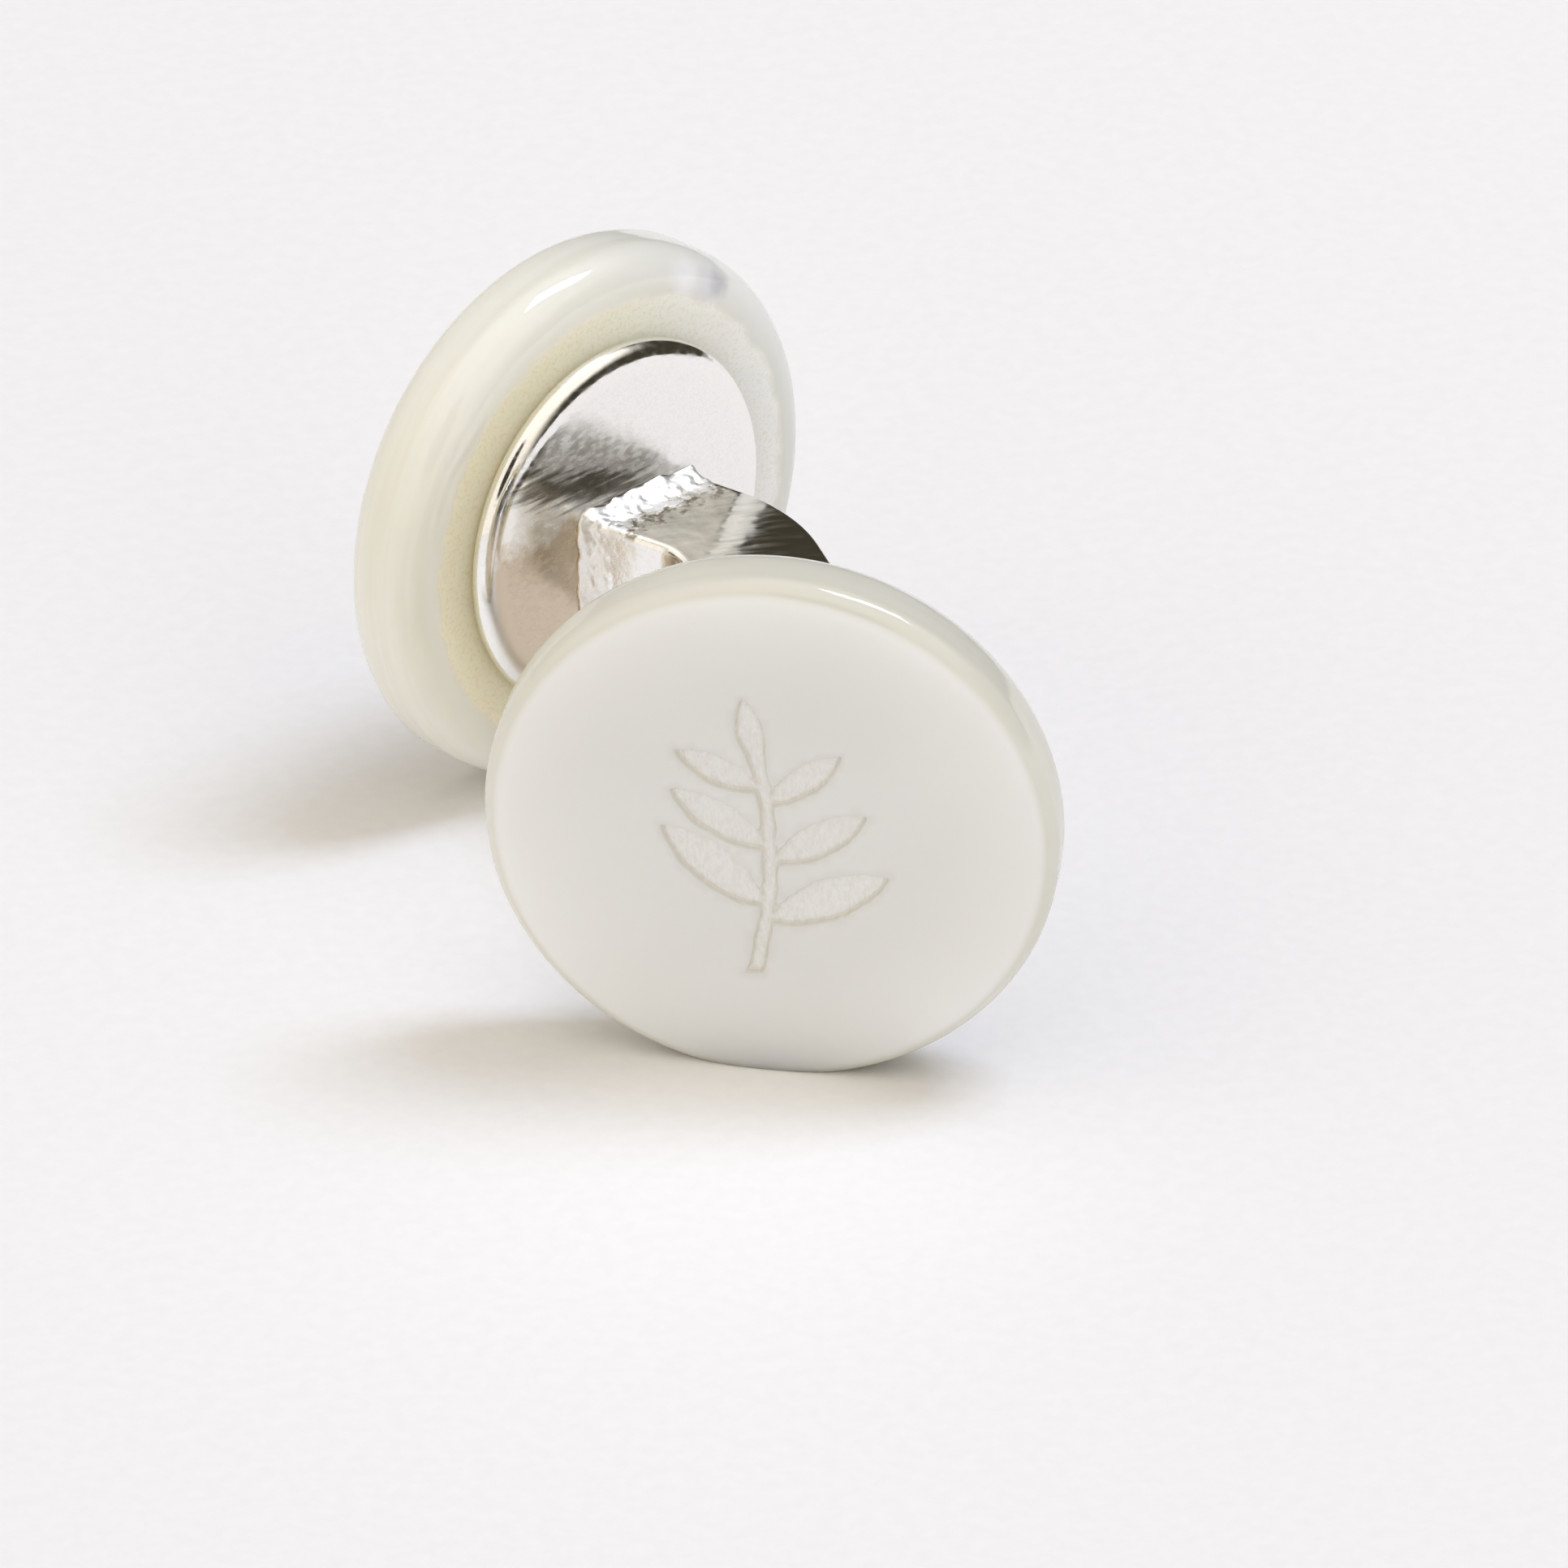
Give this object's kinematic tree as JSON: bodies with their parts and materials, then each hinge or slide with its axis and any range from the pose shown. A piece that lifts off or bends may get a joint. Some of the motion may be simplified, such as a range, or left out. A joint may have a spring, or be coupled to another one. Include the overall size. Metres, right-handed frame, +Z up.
{
  "type": "double-faced cufflink",
  "caption": "Rigid cufflink: an engraved pearl disc and a plain one on the ends of a bent silver bar, which passes through a cuff's buttonholes while the discs hold the cuff closed.",
  "frame": {"origin": "centre of the footprint, on the surface that the cufflink stands on", "axes": "+Z up, +Y from the front disc to the rear disc, +X towards the side that the bar bends to"},
  "size_m": [0.013, 0.0236, 0.0138],
  "materials": {
    "pearl": "polished mother-of-pearl, greyish white, with a matt yellowish back",
    "silver": "polished silver with hand-filed edges"
  },
  "bodies": {
    "root": {"front_disc": "pearl", "rear_disc": "pearl", "silver_link": "silver"}
  },
  "joints": []
}
